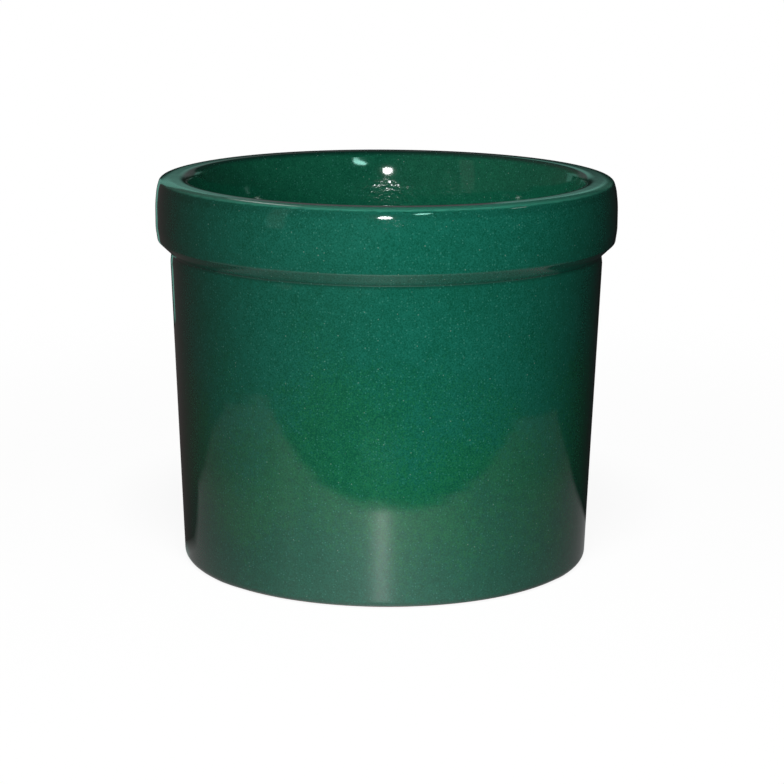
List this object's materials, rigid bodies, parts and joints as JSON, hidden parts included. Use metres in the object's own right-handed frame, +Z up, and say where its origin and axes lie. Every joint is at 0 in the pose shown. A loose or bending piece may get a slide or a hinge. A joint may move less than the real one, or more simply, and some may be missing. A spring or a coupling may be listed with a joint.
{
  "type": "utensil crock",
  "caption": "Open round stoneware crock with a thick banded rim, a slightly tapered wall and a foot ring, glazed dark green, for standing kitchen utensils in.",
  "frame": {"origin": "centre of the foot, on the surface that the crock stands on", "axes": "+Z up along the crock's axis; it is a body of revolution, so +X and +Y are any two level directions at right angles"},
  "size_m": [0.165, 0.165, 0.138],
  "materials": {
    "stoneware": "unglazed buff stoneware, matt, seen only on the foot ring and in its recess",
    "green_glaze": "glossy dark bottle-green glaze with fine teal specks"
  },
  "bodies": {
    "root": {"clay_body": "stoneware", "outer_glaze": "green_glaze", "liner_glaze": "green_glaze"}
  },
  "joints": []
}
